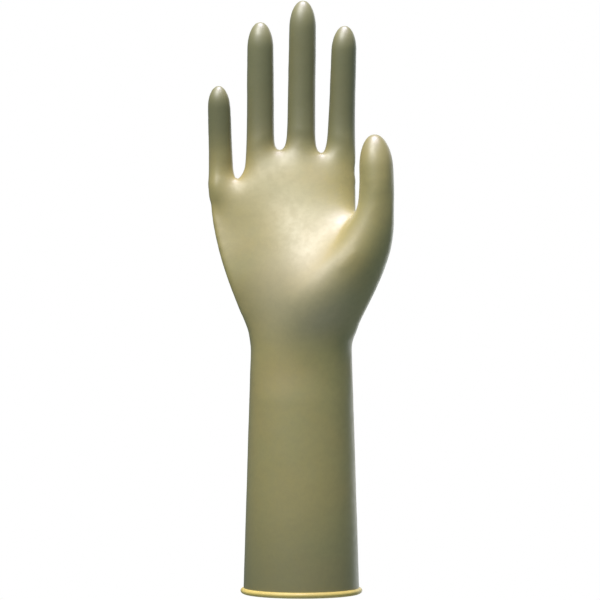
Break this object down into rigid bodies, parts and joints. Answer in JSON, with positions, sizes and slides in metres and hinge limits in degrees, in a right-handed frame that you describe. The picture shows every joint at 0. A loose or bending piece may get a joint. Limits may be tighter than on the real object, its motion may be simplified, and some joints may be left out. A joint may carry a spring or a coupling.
{
  "type": "lead lined glove",
  "caption": "Right-hand gauntlet glove of lead-loaded rubber, hollow and filled out, with a slightly flared cuff and a rolled bead round its mouth.",
  "frame": {"origin": "centre of the cuff's mouth, level with the underside of its bead", "axes": "+Z from the cuff to the fingertips, -Y out of the palm, +X towards the thumb"},
  "size_m": [0.1109, 0.0676, 0.3554],
  "materials": {
    "olive_rubber": "satin olive lead-loaded rubber, slightly mottled",
    "cream_rubber": "satin cream rubber"
  },
  "bodies": {
    "root": {"glove_shell": "olive_rubber", "cuff_bead": "cream_rubber"}
  },
  "joints": []
}
